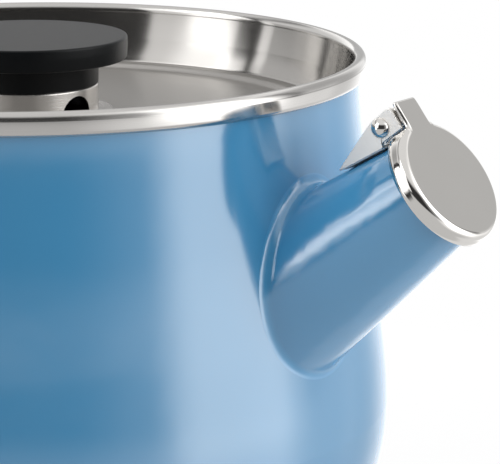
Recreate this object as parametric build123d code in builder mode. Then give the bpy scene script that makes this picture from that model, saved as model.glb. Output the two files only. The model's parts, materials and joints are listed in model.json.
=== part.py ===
"""Coffee percolator: a wide enamelled pot with a flip-cap spout, a sunk lid and a lift-out pump and basket.

Millimetres. The origin is on the pot's axis, on the plane that it stands on. +X points to the spout, -X to
the handle and +Z up. The body is mirror-symmetric about Y = 0.
"""
from build123d import *
from math import cos, radians, sin
import os

os.makedirs("parts", exist_ok=True)

# ---- pot ----
rim_height = 128.0          # plane of rest to the top of the rim
belly_radius = 82.95
belly_height = 47.0         # height of the widest ring
neck_radius = 75.8          # outside, just under the rim
belly_curve = 60.5          # radius of the lower side
belly_sweep = 38.0          # degrees that the lower side turns before the base corner
low_shoulder = (0.27, 0.28)     # shares of the narrowing and of the climb to the shell's top
high_shoulder = (0.645, 0.67)
wall = 1.2                  # enamelled sheet
base_thickness = 3.0
base_inset = 1.3            # base disc edge, inside the flat of the shell
base_chamfer = 0.8

# ---- rim collar and lid seat ----
bead_width = 3.0
bead_height = 5.4
bead_overhang = 1.6         # bead beyond the neck
bead_tuck = 1.4             # bead's lower edge, inside its widest ring
collar_sheet = 0.9
collar_taper = 2.2          # narrowing of the collar wall from bead to seat
collar_depth = 10.8         # rim top to the bottom of the straight wall
seat_depth = 15.2           # rim top to the lid seat
seat_width = 3.6
seat_curve_run = 1.8        # radial run of the curve above the seat
seat_curve_bow = 0.45       # middle of that curve, outside the seat

# ---- lid ----
lid_sheet = 0.9
lid_clearance = 0.5         # lid edge to collar
lid_seat_gap = 0.2
lid_bead_top = 1.3          # lid edge above the seat
lid_plate_depth = 14.7      # rim top to the lid's flat
lid_rib_drop = 0.3          # centring rib below the flat
lid_rib_width = 2.7

# ---- knob and post ----
knob_radius = 23.05
knob_rise = 3.3             # knob top above the rim top
knob_disc = 5.15
knob_neck_radius = 16.28
knob_neck = 5.7
knob_edge = 0.7
post_radius = 16.3
post_sheet = 0.9
post_flange = 3.2           # width of the foot flange
vent_radius = 4.2
vent_count = 2
vent_turn = -7.0            # degrees from the spout
knob_screw_radius = 2.45
screw_hole_clearance = 0.25
screw_tip_gap = 0.7         # screw's tip to the end of the insert
screw_slot = 0.8
thread_clearance = 0.04
insert_radius = 4.2
insert_length = 7.5
insert_fit = 0.03
screw_head_radius = 4.6
screw_head_height = 2.6
washer_radius = 6.2
washer_thickness = 1.1

# ---- spout ----
spout_rise = 37.1           # degrees above level
spout_stand_out = 29.85     # belly to the middle of the cap's face
mouth_drop = 16.5           # rim top down to the middle of the cap's face
tube_mouth_radius = 11.56   # tube's outside, carried on to the cap's face
tube_taper = 0.128          # radius gained for each millimetre back from the mouth
tube_wall = 1.2
tube_root_fillet = 2.5
lip_radius = 12.7
lip_roll = 0.75
pour_radius = 12.5
strainer_radius = 15.5
strainer_sheet = 0.8
strainer_hole = 1.7
strainer_pitch = 5.0
strainer_rows = 5

# ---- spout cap and its hinge ----
cap_radius = 14.1
cap_sheet = 0.8
cap_skirt = 3.1
cap_edge = 0.75
cap_mouth_gap = 0.3
tab_half_width = 3.9
tab_top = 19.4              # tube axis to the end of the tab
tab_root_fillet = 1.6
tab_corner = 0.5
pivot_back = 6.1            # behind the cap's face
pivot_up = 16.6             # above the tube's axis
pin_radius = 1.5
pin_clearance = 0.05
rivet_head_radius = 2.2
rivet_head_height = 1.6
ear_inner = 2.5
ear_sheet = 0.8
ear_radius = 2.1
bracket_half_width = 4.5
bracket_sheet = 0.9
bracket_front = 1.6         # cheeks start this far behind the cap's face
bracket_lobe_bottom = 13.8
bracket_top = 19.1
bracket_shoulder = 6.8
bracket_foot_front = 8.1
bracket_foot_back = 19.5
bracket_tail_height = 0.6   # cheek left at the tip of the tail
bracket_bend = 0.9
bracket_seat_gap = 0.02
hinge_notch = 5.7           # half width of the gap in the skirt at the hinge
spring_wire = 0.35          # radius of the wire
spring_coil = 2.0           # radius at the middle of the wire
spring_half_width = 1.8
spring_turns = 3
spring_lean = 30.0          # degrees from the foot leg to the cap leg
spring_foot_leg = 4.6

# ---- handle ----
handle_drop = 24.0          # rim top to the upper end of the grip
handle_bottom = 37.0
handle_stand_off = 15.0     # pot wall to the ends of the grip
handle_room = 44.05         # belly to the middle of the grip
grip_half_width = 10.5
grip_half_depth = 7.5
grip_corner = 6.75
grip_bend = 13.0
tongue_half_width = 4.5
tongue_half_thickness = 1.6
tongue_length = 15.0
tongue_clearance = 0.05
pad_half_width = 12.0
pad_half_height = 9.0
pad_sheet = 1.5
ferrule_length = 5.0
ferrule_sheet = 0.8
ferrule_fit = 0.03
handle_screw_radius = 2.0
handle_screw_head = 3.6
handle_screw_sink = 1.6
handle_screw_fit = 0.03
screw_setback = 9.6         # grip end to the screw

# ---- percolator set ----
riser_radius = 5.5
riser_bore = 4.4
riser_lid_gap = 4.7         # below the lid's screw
foot_radius = 32.0
foot_height = 20.0
foot_sheet = 0.9
foot_rim = 3.0
foot_curve = 2.7            # radius at the foot's shoulder and neck
foot_neck = 6.0
foot_gap = 0.2
foot_port_half_width = 4.0
foot_port_height = 4.5
foot_port_count = 4
press_gap = 0.02
stop_radius = 8.0
stop_height = 2.4
stop_edge = 0.8
stop_level = 52.0
basket_gap = 0.2
basket_radius = 48.0
basket_headroom = 20.2      # basket's rim to the underside of the lid
basket_sheet = 0.8
basket_corner = 4.0
basket_lip = 1.8
sleeve_clearance = 0.6
sleeve_sheet = 0.7
sleeve_flange = 4.0
spreader_gap = 0.2
spreader_sheet = 0.8
spreader_rise = 3.0
spreader_collar = 4.0
spreader_rib = 3.5
spreader_rib_clearance = 0.6
perforation_radius = 1.5
perforation_ring_radii = (17.0, 26.0, 35.0)
perforation_ring_counts = (8, 12, 16)
wall_perforation_count = 12
wall_perforation_levels = (10.0, 18.0)

# ---- derived places ----
floor_level = base_thickness + wall
neck_inside = neck_radius - wall
bead_outside = neck_radius + bead_overhang
bead_inside = bead_outside - bead_width
shell_top = rim_height - bead_height
seat_level = rim_height - seat_depth
wall_bottom_radius = bead_inside - collar_taper
seat_outer = wall_bottom_radius - seat_curve_run
seat_inner = seat_outer - seat_width
lid_level = rim_height - lid_plate_depth
lid_underside = lid_level - lid_sheet
washer_bottom = lid_underside - washer_thickness
post_top = rim_height + knob_rise - knob_disc - knob_neck
mouth_reach = belly_radius + spout_stand_out
mouth = Vector(mouth_reach, 0, rim_height - mouth_drop)
spout_direction = Vector(cos(radians(spout_rise)), 0, sin(radians(spout_rise)))
spout_axis = Axis(mouth, spout_direction)
spout_side = Plane(origin=mouth, x_dir=spout_direction, z_dir=(0, -1, 0))
spout_face = Plane(origin=mouth, x_dir=(0, 1, 0), z_dir=spout_direction)
pivot_place = (-pivot_back, pivot_up)
outline_plane = Plane.XZ.rotated((0, 0, 90))    # seams of the turned shapes stay clear of the spout


def tube_radius(back):
    """Outside radius of the spout tube, a distance back from the cap's face."""
    return tube_mouth_radius + tube_taper * back


def pot_outline(inset):
    """Half section of the pot's body, shrunk by the inset, from its floor to the shell's top."""
    curve_centre = belly_radius - belly_curve
    side = belly_curve - inset
    turn = radians(belly_sweep)
    corner_top_drop = belly_curve * sin(turn)
    corner_radius = (belly_height - corner_top_drop - base_thickness) / (1 - sin(turn))
    corner_x = curve_centre + (belly_curve - corner_radius) * cos(turn)
    corner_z = belly_height - (belly_curve - corner_radius) * sin(turn)
    corner = corner_radius - inset
    belly = (belly_radius - inset, belly_height)
    side_middle = (curve_centre + side * cos(turn / 2), belly_height - side * sin(turn / 2))
    side_end = (curve_centre + side * cos(turn), belly_height - side * sin(turn))
    corner_turn = (turn + radians(90)) / 2
    corner_middle = (corner_x + corner * cos(corner_turn), corner_z - corner * sin(corner_turn))
    corner_end = (corner_x, base_thickness + inset)
    narrowing = belly_radius - neck_radius
    climb = shell_top - belly_height
    low = (belly_radius - inset - low_shoulder[0] * narrowing, belly_height + low_shoulder[1] * climb)
    high = (belly_radius - inset - high_shoulder[0] * narrowing, belly_height + high_shoulder[1] * climb)
    neck = (neck_radius - inset, shell_top)
    with BuildSketch(outline_plane) as outline:
        with BuildLine():
            Line((0, base_thickness + inset), corner_end)
            ThreePointArc(corner_end, corner_middle, side_end)
            ThreePointArc(side_end, side_middle, belly)
            Spline(belly, low, high, neck, tangents=[(0, 1), (0, 1)])
            Polyline(neck, (0, shell_top), (0, base_thickness + inset))
        make_face()
    return outline.sketch


def body_radius(height):
    """Outside radius of the finished pot at a height."""
    across = Plane.XY.offset(height) * Rectangle(4 * belly_radius, 4 * belly_radius)
    return (body_block.part & across).bounding_box().max.X


def finish(builder, name):
    """Label a finished piece and write its STEP file."""
    builder.part.label = name
    export_step(builder.part, f"parts/{name}.step")


outer_outline = pot_outline(0)
inner_outline = pot_outline(wall)
strainer_outline = pot_outline(wall + strainer_sheet)

with BuildPart() as body_block:
    revolve(outer_outline, axis=Axis.Z)

# ---- pot shell, open at the neck, with the pour hole behind the spout ----
with BuildPart() as pot_shell:
    revolve(outer_outline, axis=Axis.Z)
    revolve(inner_outline, axis=Axis.Z, mode=Mode.SUBTRACT)
    with BuildSketch(spout_face):
        Circle(pour_radius)
    extrude(amount=-mouth_reach / 2, mode=Mode.SUBTRACT)
finish(pot_shell, "pot_shell")

# ---- base disc ----
base_flat = outer_outline.faces()[0].edges().filter_by(GeomType.LINE).sort_by(Axis.Z)[0].length
with BuildPart() as base_disc:
    with BuildSketch(Plane.XY):
        Circle(base_flat - base_inset)
    extrude(amount=base_thickness)
    chamfer(base_disc.edges().group_by(Axis.Z)[0], length=base_chamfer)
finish(base_disc, "base_disc")

# ---- rim collar: rolled bead, tapered wall, curve and lid seat in one sheet ----
with BuildPart() as rim_collar:
    with BuildSketch(Plane.XZ):
        bead_round = bead_width / 2
        bead_bottom = rim_height - bead_height
        bead_crown = rim_height - bead_round
        wall_bottom = rim_height - collar_depth
        seat_underside = seat_level - collar_sheet
        curve_radius = seat_outer + seat_curve_bow
        curve_height = (seat_level + wall_bottom) / 2
        hidden_top = (wall_bottom_radius + collar_sheet, wall_bottom)
        hidden_end = (seat_outer + collar_sheet / 2, seat_underside)
        with BuildLine():
            ThreePointArc((bead_inside, bead_crown), (bead_inside + bead_round, rim_height),
                          (bead_outside, bead_crown))
            TangentArc((bead_outside, bead_crown), (bead_outside - bead_tuck, bead_bottom), tangent=(0, -1))
            Polyline((bead_outside - bead_tuck, bead_bottom), (neck_inside - press_gap, bead_bottom),
                     hidden_top)
            ThreePointArc(hidden_top, (curve_radius + collar_sheet, curve_height - collar_sheet / 2),
                          hidden_end)
            Polyline(hidden_end, (seat_inner, seat_underside), (seat_inner, seat_level),
                     (seat_outer, seat_level))
            ThreePointArc((seat_outer, seat_level), (curve_radius, curve_height),
                          (wall_bottom_radius, wall_bottom))
            Line((wall_bottom_radius, wall_bottom), (bead_inside, bead_crown))
        make_face()
    revolve(axis=Axis.Z)
finish(rim_collar, "rim_collar")

# ---- spout tube: cone with a rolled mouth, flared into the body ----
tube_start = cap_sheet + cap_mouth_gap
tube_reach = mouth_reach / cos(radians(spout_rise)) - belly_radius / 2
lip_middle = tube_start + lip_roll
tube_bore_reach = (-tube_reach, tube_radius(tube_reach) - tube_wall)
with BuildPart() as spout_tube:
    with BuildSketch(spout_side):
        Polygon((-lip_middle, 0), (-lip_middle, tube_radius(lip_middle)),
                (-tube_reach, tube_radius(tube_reach)), (-tube_reach, 0), align=None)
    revolve(axis=spout_axis)
    add(body_block.part)
    root_edges = spout_tube.edges().filter_by(GeomType.BSPLINE)
    root_edge = root_edges.filter_by(lambda e: e.center().X > belly_radius / 2).sort_by(Edge.length)[-1]
    fillet(root_edge, radius=tube_root_fillet)
    add(body_block.part, mode=Mode.SUBTRACT)
    with BuildSketch(spout_side):
        with Locations((-lip_middle, lip_radius - lip_roll)):
            Circle(lip_roll)
        with Locations((-lip_middle, tube_radius(tube_start) - tube_wall / 2)):
            Rectangle(lip_roll * 2, tube_wall)
    revolve(axis=spout_axis)
    with BuildSketch(spout_side):
        Polygon((0, 0), (0, tube_radius(0) - tube_wall), tube_bore_reach, (-tube_reach, 0), align=None)
    revolve(axis=spout_axis, mode=Mode.SUBTRACT)
finish(spout_tube, "spout_tube")

# ---- spout strainer: perforated sheet that follows the wall behind the pour hole ----
with BuildPart() as spout_strainer:
    revolve(inner_outline, axis=Axis.Z)
    revolve(strainer_outline, axis=Axis.Z, mode=Mode.SUBTRACT)
    with BuildSketch(spout_face):
        Circle(strainer_radius)
    extrude(amount=-mouth_reach / 2, mode=Mode.INTERSECT)
    with BuildSketch(spout_face):
        with HexLocations(strainer_pitch / 2, strainer_rows, strainer_rows) as grid:
            places = grid.local_locations
        with Locations(*[place for place in places if place.position.length < pour_radius - strainer_hole]):
            Circle(strainer_hole)
    extrude(amount=-mouth_reach / 2, mode=Mode.SUBTRACT)
finish(spout_strainer, "spout_strainer")

# ---- hinge bracket: sheet bent to a U, its base on the tube, its cheeks either side of the cap's ears ----
pivot = spout_side.from_local_coords((-pivot_back, pivot_up, 0))
pin_axis = Axis(pivot, (0, 1, 0))


def bracket_base(back):
    """Underside of the bracket's base above the tube's axis, a distance back from the cap's face."""
    return tube_radius(back) + bracket_seat_gap


with BuildPart() as hinge_bracket:
    with BuildSketch(spout_side) as cheek:
        Polygon((-bracket_front, bracket_lobe_bottom), (-bracket_front, bracket_top),
                (-bracket_shoulder, bracket_top),
                (-bracket_foot_back, bracket_base(bracket_foot_back) + bracket_sheet + bracket_tail_height),
                (-bracket_foot_back, bracket_base(bracket_foot_back)),
                (-bracket_foot_front, bracket_base(bracket_foot_front)),
                (-bracket_foot_front, bracket_lobe_bottom), align=None)
        fillet(cheek.vertices().group_by(Axis.X)[-1], radius=tab_corner)
    extrude(amount=bracket_half_width, both=True)
    base_edges = hinge_bracket.faces().sort_by(Axis(mouth, spout_side.y_dir))[0].edges()
    bends = base_edges.filter_by(lambda e: abs(e.center().Y) > bracket_half_width - bracket_sheet)
    fillet(bends, radius=bracket_bend)
    with BuildSketch(spout_side):
        Polygon((0, 0), (0, bracket_top + bracket_sheet), (-tube_reach, bracket_top + bracket_sheet),
                (-tube_reach, bracket_base(tube_reach) + bracket_sheet),
                (-bracket_foot_front, bracket_base(bracket_foot_front) + bracket_sheet),
                (-bracket_foot_front, 0), align=None)
    extrude(amount=bracket_half_width - bracket_sheet, both=True, mode=Mode.SUBTRACT)
    with BuildSketch(spout_side):
        with Locations(pivot_place):
            Circle(pin_radius + press_gap)
    extrude(amount=bracket_half_width, both=True, mode=Mode.SUBTRACT)
finish(hinge_bracket, "hinge_bracket")

# ---- hinge rivet: pin with a domed head on each side ----
rivet_end = bracket_half_width + rivet_head_height
with BuildPart() as hinge_rivet:
    with BuildSketch(Plane(origin=pivot, x_dir=(0, 1, 0), z_dir=(0, 0, 1))):
        with BuildLine():
            TangentArc((rivet_end, 0), (bracket_half_width, rivet_head_radius), tangent=(0, 1))
            Polyline((bracket_half_width, rivet_head_radius), (bracket_half_width, pin_radius),
                     (-bracket_half_width, pin_radius), (-bracket_half_width, rivet_head_radius))
            TangentArc((-rivet_end, 0), (-bracket_half_width, rivet_head_radius), tangent=(0, 1))
            Line((-rivet_end, 0), (rivet_end, 0))
        make_face()
    revolve(axis=pin_axis)
finish(hinge_rivet, "hinge_rivet")

# ---- cap spring: coil round the pin, one leg on the bracket's base and one behind the cap's tab ----
coil_frame = Plane(origin=pivot + Vector(0, spring_half_width, 0), x_dir=-spout_side.y_dir, z_dir=(0, -1, 0))
coil_angle = spring_turns + spring_lean / 360
coil = coil_frame.location * Helix(2 * spring_half_width / coil_angle, 2 * spring_half_width, spring_coil)
cap_leg_start = spout_side.to_local_coords(coil @ 1)
cap_leg = (-cap_leg_start.X - cap_sheet - spring_wire) / (coil % 1).dot(spout_direction)
with BuildPart() as cap_spring:
    with BuildSketch(Plane(origin=coil @ 0, z_dir=coil % 0)):
        Circle(spring_wire)
    sweep(path=coil, is_frenet=True)
    with BuildSketch(Plane(origin=coil @ 0, z_dir=-(coil % 0))):
        Circle(spring_wire)
    extrude(amount=spring_foot_leg)
    with BuildSketch(Plane(origin=coil @ 1, z_dir=coil % 1)):
        Circle(spring_wire)
    extrude(amount=cap_leg)
finish(cap_spring, "cap_spring")

# ---- spout cap: pressed disc with a skirt, a square tab and two ears on the pin ----
with BuildPart() as spout_cap:
    with BuildSketch(spout_face) as cap_face:
        Circle(cap_radius)
        with Locations((0, tab_top / 2)):
            Rectangle(2 * tab_half_width, tab_top)
        fillet(cap_face.vertices().group_by(Axis.Y)[-1], radius=tab_corner)
        roots = cap_face.vertices().filter_by_position(Axis.Y, cap_radius / 2, tab_top).sort_by(Axis.Y)[:2]
        fillet(roots, radius=tab_root_fillet)
    extrude(amount=-cap_sheet)
    fillet(spout_cap.faces().sort_by(spout_axis)[-1].edges(), radius=cap_edge)
    with BuildSketch(spout_face.offset(-cap_sheet)):
        Circle(cap_radius)
        Circle(cap_radius - cap_sheet, mode=Mode.SUBTRACT)
        with Locations((0, tab_top / 2)):
            Rectangle(2 * hinge_notch, tab_top, mode=Mode.SUBTRACT)
    extrude(amount=-(cap_skirt - cap_sheet))
    for side in (-1, 1):
        with BuildSketch(spout_side.offset(side * (ear_inner + ear_sheet / 2))):
            with Locations(pivot_place):
                Circle(ear_radius)
            with Locations((-(pivot_back + cap_sheet / 2) / 2, pivot_up)):
                Rectangle(pivot_back - cap_sheet / 2, 2 * ear_radius)
        extrude(amount=ear_sheet / 2, both=True)
    with BuildSketch(spout_side):
        with Locations(pivot_place):
            Circle(pin_radius + pin_clearance)
    extrude(amount=ear_inner + ear_sheet, both=True, mode=Mode.SUBTRACT)
finish(spout_cap, "spout_cap")

# ---- lid plate: pressed dish with a raised edge on the seat and a rib that centres it ----
lid_radius = seat_outer - lid_clearance
edge_bottom = seat_level + lid_seat_gap
edge_top = seat_level + lid_bead_top
rib_outer = seat_inner - lid_clearance
rib_inner = rib_outer - lid_rib_width - lid_sheet
screw_hole = knob_screw_radius + screw_hole_clearance
with BuildPart() as lid_plate:
    with BuildSketch(Plane.XZ) as lid_section:
        Polygon((screw_hole, lid_level), (rib_inner, lid_level),
                (rib_inner + lid_sheet, lid_level - lid_rib_drop),
                (rib_outer - lid_sheet, lid_level - lid_rib_drop), (rib_outer, edge_top - lid_rib_drop),
                (rib_outer + lid_sheet, edge_top), (lid_radius, edge_top), (lid_radius, edge_bottom),
                (rib_outer, edge_bottom), (rib_outer, lid_underside - lid_rib_drop),
                (rib_inner, lid_underside - lid_rib_drop), (rib_inner - lid_sheet, lid_underside),
                (screw_hole, lid_underside), align=None)
        fillet(lid_section.vertices().group_by(Axis.X)[-1].sort_by(Axis.Y)[-1], radius=lid_sheet / 2)
    revolve(axis=Axis.Z)
finish(lid_plate, "lid_plate")

# ---- knob post: drawn cup, closed at the top, with vent arches round its foot ----
flange_top = lid_level + post_sheet
vent_centre = post_top - post_sheet - vent_radius - post_sheet / 2
with BuildPart() as knob_post:
    with BuildSketch(Plane.XZ) as post_section:
        Polygon((screw_hole, post_top), (post_radius, post_top), (post_radius, flange_top),
                (post_radius + post_flange, flange_top), (post_radius + post_flange, lid_level),
                (post_radius - post_sheet, lid_level), (post_radius - post_sheet, post_top - post_sheet),
                (screw_hole, post_top - post_sheet), align=None)
        fillet(post_section.vertices().sort_by(Axis.Y)[-2:].sort_by(Axis.X)[-1], radius=post_sheet / 2)
    revolve(axis=Axis.Z)
    for index in range(vent_count):
        facing = Plane.YZ.rotated((0, 0, vent_turn + index * 360 / vent_count))
        with BuildSketch(facing):
            with Locations((0, vent_centre)):
                Circle(vent_radius)
            with Locations((0, (vent_centre + flange_top) / 2)):
                Rectangle(2 * vent_radius, vent_centre - flange_top)
        extrude(amount=post_radius + post_flange, mode=Mode.SUBTRACT)
finish(knob_post, "knob_post")

# ---- knob: flat disc on a neck, with a blind bore for its threaded insert ----
disc_bottom = post_top + knob_neck
knob_top = disc_bottom + knob_disc
with BuildPart() as knob:
    with BuildSketch(Plane.XZ) as knob_section:
        Polygon((0, post_top), (knob_neck_radius, post_top), (knob_neck_radius, disc_bottom),
                (knob_radius, disc_bottom), (knob_radius, knob_top), (0, knob_top), align=None)
        fillet(knob_section.vertices().group_by(Axis.X)[-1], radius=knob_edge)
    revolve(axis=Axis.Z)
    with Locations(Plane.XY.offset(post_top)):
        Cylinder(insert_radius + insert_fit, insert_length, mode=Mode.SUBTRACT,
                 align=(Align.CENTER, Align.CENTER, Align.MIN))
finish(knob, "knob")

# ---- knob insert, screw and washer ----
with BuildPart() as knob_insert:
    with BuildSketch(Plane.XY.offset(post_top)):
        Circle(insert_radius)
        Circle(knob_screw_radius + thread_clearance, mode=Mode.SUBTRACT)
    extrude(amount=insert_length)
finish(knob_insert, "knob_insert")

with BuildPart() as knob_washer:
    with BuildSketch(Plane.XY.offset(washer_bottom)):
        Circle(washer_radius)
        Circle(screw_hole, mode=Mode.SUBTRACT)
    extrude(amount=washer_thickness)
finish(knob_washer, "knob_washer")

with BuildPart() as knob_screw:
    with BuildSketch(Plane.XY.offset(washer_bottom)):
        Circle(knob_screw_radius)
    extrude(amount=post_top + insert_length - screw_tip_gap - washer_bottom)
    with BuildSketch(Plane.XY.offset(washer_bottom)):
        Circle(screw_head_radius)
    extrude(amount=-screw_head_height)
    fillet(knob_screw.edges().group_by(Axis.Z)[0], radius=screw_head_height / 2)
    with BuildSketch(Plane.XY.offset(washer_bottom - screw_head_height)):
        Rectangle(2 * screw_head_radius, screw_slot)
    extrude(amount=screw_head_height / 2, mode=Mode.SUBTRACT)
finish(knob_screw, "knob_screw")

# ---- handle: moulded grip on two steel brackets welded to the body ----
handle_reach = belly_radius + handle_room
handle_top = rim_height - handle_drop
grip_top_end = -(body_radius(handle_top) + handle_stand_off)
grip_bottom_end = -(body_radius(handle_bottom) + handle_stand_off)
grip_ends = {"upper": (handle_top, grip_top_end), "lower": (handle_bottom, grip_bottom_end)}
pad_outline = pot_outline(-pad_sheet)


def grip_section(shrink, mode=Mode.ADD):
    """Rounded section of the grip, made thinner all round by shrink."""
    width = 2 * (grip_half_width - shrink)
    depth = 2 * (grip_half_depth - shrink)
    return RectangleRounded(width, depth, grip_corner - shrink, mode=mode)


def grip_end_plane(end_place, inward=0.0):
    """Plane across an end of the grip, moved a distance into the grip."""
    height, end = end_place
    return Plane(origin=(end - inward, 0, height), x_dir=(0, 1, 0), z_dir=(-1, 0, 0))


with BuildPart() as handle_grip:
    with BuildLine(Plane.XZ) as grip_path:
        FilletPolyline((grip_top_end, handle_top), (-handle_reach, handle_top), (-handle_reach, handle_bottom),
                       (grip_bottom_end, handle_bottom), radius=grip_bend + grip_half_depth)
    with BuildSketch(grip_end_plane(grip_ends["upper"])):
        grip_section(0)
    sweep(path=grip_path.line)
    for end_place in grip_ends.values():
        with BuildSketch(grip_end_plane(end_place)):
            grip_section(-ferrule_sheet)
            grip_section(ferrule_sheet + ferrule_fit, mode=Mode.SUBTRACT)
        extrude(amount=ferrule_length, mode=Mode.SUBTRACT)
        with BuildSketch(grip_end_plane(end_place)):
            Rectangle(2 * (tongue_half_thickness + tongue_clearance),
                      2 * (tongue_half_width + tongue_clearance))
        extrude(amount=tongue_length + tongue_clearance, mode=Mode.SUBTRACT)
        height, end = end_place
        with BuildSketch(Plane.XZ):
            with Locations((end - screw_setback, height)):
                Circle(handle_screw_radius + handle_screw_fit)
        extrude(amount=grip_half_width, both=True, mode=Mode.SUBTRACT)
        for side in (-1, 1):
            with BuildSketch(Plane.XZ.offset(side * grip_half_width)):
                with Locations((end - screw_setback, height)):
                    Circle(handle_screw_head + handle_screw_fit)
            extrude(amount=-side * handle_screw_sink, mode=Mode.SUBTRACT)
finish(handle_grip, "handle_grip")

with BuildPart() as handle_ferrules:
    for end_place in grip_ends.values():
        with BuildSketch(grip_end_plane(end_place)):
            grip_section(0)
        extrude(amount=ferrule_length)
        with BuildSketch(grip_end_plane(end_place)):
            grip_section(ferrule_sheet)
        extrude(amount=ferrule_length, mode=Mode.SUBTRACT)
        with BuildSketch(grip_end_plane(end_place)):
            grip_section(0)
            Rectangle(2 * tongue_half_thickness, 2 * tongue_half_width, mode=Mode.SUBTRACT)
        extrude(amount=-ferrule_sheet)
finish(handle_ferrules, "handle_ferrules")

with BuildPart() as handle_screws:
    for height, end in grip_ends.values():
        with BuildSketch(Plane.XZ):
            with Locations((end - screw_setback, height)):
                Circle(handle_screw_radius)
        extrude(amount=grip_half_width - handle_screw_sink, both=True)
        for side in (-1, 1):
            with BuildSketch(Plane.XZ.offset(side * (grip_half_width - handle_screw_sink))):
                with Locations((end - screw_setback, height)):
                    Circle(handle_screw_head)
            extrude(amount=side * handle_screw_sink)
finish(handle_screws, "handle_screws")


def handle_bracket(end_place):
    """Pad that follows the body's wall, with a flat bar that reaches into the grip."""
    height, end = end_place
    with BuildPart() as bracket:
        revolve(pad_outline, axis=Axis.Z)
        with BuildSketch(Plane.YZ):
            with Locations((0, height)):
                RectangleRounded(2 * pad_half_width, 2 * pad_half_height, pad_half_height / 2)
        extrude(amount=-handle_reach, mode=Mode.INTERSECT)
        with BuildSketch(Plane.YZ.offset(-belly_radius / 2)):
            with Locations((0, height)):
                Rectangle(2 * tongue_half_thickness, 2 * tongue_half_width)
        extrude(amount=end - tongue_length + belly_radius / 2)
        add(body_block.part, mode=Mode.SUBTRACT)
        with BuildSketch(Plane.XZ):
            with Locations((end - screw_setback, height)):
                Circle(handle_screw_radius + handle_screw_fit)
        extrude(amount=grip_half_width, both=True, mode=Mode.SUBTRACT)
    return bracket


for where, end_place in grip_ends.items():
    finish(handle_bracket(end_place), f"handle_{where}_bracket")

# ---- pump foot: bell with ports round its rim, on the pot's floor ----
foot_level = floor_level + foot_gap
neck_bore = riser_radius + press_gap
with BuildPart() as pump_foot:
    with BuildSketch(Plane.XZ):
        with BuildLine():
            FilletPolyline((foot_radius, foot_level), (foot_radius, foot_level + foot_rim),
                           (neck_bore + foot_sheet, foot_level + foot_height - foot_neck),
                           (neck_bore + foot_sheet, foot_level + foot_height), radius=foot_curve)
            offset(amount=foot_sheet, side=Side.LEFT)
        make_face()
    revolve(axis=Axis.Z)
    for index in range(foot_port_count):
        with BuildSketch(Plane.YZ.rotated((0, 0, (index + 0.5) * 360 / foot_port_count))):
            with Locations((0, foot_level)):
                SlotOverall(2 * foot_port_height, 2 * foot_port_half_width, rotation=90)
        extrude(amount=foot_radius + foot_sheet, mode=Mode.SUBTRACT)
finish(pump_foot, "pump_foot")

# ---- pump tube and the ring that the basket stands on ----
riser_bottom = foot_level + foot_height - foot_neck - riser_radius
riser_top = washer_bottom - screw_head_height - riser_lid_gap
with BuildPart() as pump_tube:
    with BuildSketch(Plane.XY.offset(riser_bottom)):
        Circle(riser_radius)
        Circle(riser_bore, mode=Mode.SUBTRACT)
    extrude(amount=riser_top - riser_bottom)
    outer_edge = pump_tube.edges().group_by(Axis.Z)[-1].sort_by(SortBy.RADIUS)[-1]
    chamfer(outer_edge, length=(riser_radius - riser_bore) / 2)
finish(pump_tube, "pump_tube")

with BuildPart() as basket_stop:
    with BuildSketch(Plane.XY.offset(stop_level - stop_height)):
        Circle(stop_radius)
        Circle(riser_radius + press_gap, mode=Mode.SUBTRACT)
    extrude(amount=stop_height)
    lower_edge = basket_stop.edges().group_by(Axis.Z)[0].sort_by(SortBy.RADIUS)[-1]
    fillet(lower_edge, radius=stop_edge)
finish(basket_stop, "basket_stop")

# ---- basket cup and its sleeve on the pump tube ----
basket_floor = stop_level + basket_gap
basket_rim = lid_underside - basket_headroom
sleeve_bore = riser_radius + sleeve_clearance
sleeve_outside = sleeve_bore + sleeve_sheet
basket_floor_top = basket_floor + basket_sheet
with BuildPart() as basket_cup:
    with BuildSketch(Plane.XZ):
        with BuildLine():
            FilletPolyline((sleeve_outside + press_gap, basket_floor), (basket_radius, basket_floor),
                           (basket_radius, basket_rim), radius=basket_corner)
            offset(amount=basket_sheet, side=Side.LEFT)
        make_face()
        with Locations((basket_radius + (basket_lip - basket_sheet) / 2, basket_rim - basket_sheet / 2)):
            Rectangle(basket_lip + basket_sheet, basket_sheet)
    revolve(axis=Axis.Z)
    for ring, count in zip(perforation_ring_radii, perforation_ring_counts):
        with BuildSketch(Plane.XY.offset(basket_floor)):
            with PolarLocations(ring, count):
                Circle(perforation_radius)
        extrude(amount=basket_sheet, mode=Mode.SUBTRACT)
    for level in wall_perforation_levels:
        for index in range(wall_perforation_count):
            with BuildSketch(Plane.YZ.rotated((0, 0, index * 360 / wall_perforation_count))):
                with Locations((0, basket_floor + level)):
                    Circle(perforation_radius)
            extrude(amount=basket_radius + basket_sheet, mode=Mode.SUBTRACT)
finish(basket_cup, "basket_cup")

with BuildPart() as basket_sleeve:
    with BuildSketch(Plane.XZ):
        Polygon((sleeve_bore, basket_floor), (sleeve_outside, basket_floor),
                (sleeve_outside, basket_floor_top), (sleeve_outside + sleeve_flange, basket_floor_top),
                (sleeve_outside + sleeve_flange, basket_floor_top + sleeve_sheet),
                (sleeve_outside, basket_floor_top + sleeve_sheet), (sleeve_outside, basket_rim - basket_sheet),
                (sleeve_bore, basket_rim - basket_sheet), align=None)
    revolve(axis=Axis.Z)
finish(basket_sleeve, "basket_sleeve")

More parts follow.
